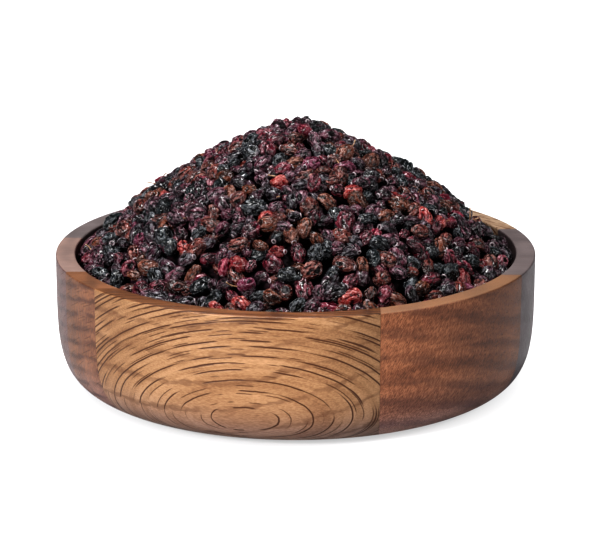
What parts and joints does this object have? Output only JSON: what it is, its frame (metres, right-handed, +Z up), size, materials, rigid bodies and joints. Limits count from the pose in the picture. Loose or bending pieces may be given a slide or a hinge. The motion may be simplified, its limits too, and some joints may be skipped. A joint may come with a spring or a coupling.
{
  "type": "wooden bowl heaped with dried black barberries",
  "caption": "Round straight-sided turned wooden bowl glued up from blocks, filled and heaped to a cone with loose wrinkled dried black barberries.",
  "frame": {"origin": "centre of the bowl's flat foot, on the surface that it stands on", "axes": "+Z up through the point of the heap, -Y towards the front of the picture, +X to its right"},
  "size_m": [0.18, 0.18, 0.0989],
  "materials": {
    "golden_wood": "oiled satin, golden brown with long dark curved pores and faint cathedral rings",
    "red_brown_wood": "oiled satin, red-brown with fine fibres and soft dark wavy bands",
    "grey_brown_wood": "oiled satin, dark grey-brown, fine straight grain",
    "pale_wood": "oiled satin, pale tan with fine grain",
    "dried_berry_skin": "wrinkled dried fruit skin with a low sheen: black, plum and maroon with a few brown and red berries"
  },
  "bodies": {
    "root": {"bowl_block_front": "golden_wood", "bowl_block_front_left": "red_brown_wood", "bowl_block_left": "red_brown_wood", "bowl_block_back_left": "grey_brown_wood", "bowl_block_back": "red_brown_wood", "bowl_block_back_right": "pale_wood", "bowl_block_right": "grey_brown_wood", "bowl_block_front_right": "red_brown_wood", "bowl_floor_board": "red_brown_wood", "barberry_heap": "dried_berry_skin"}
  },
  "joints": []
}
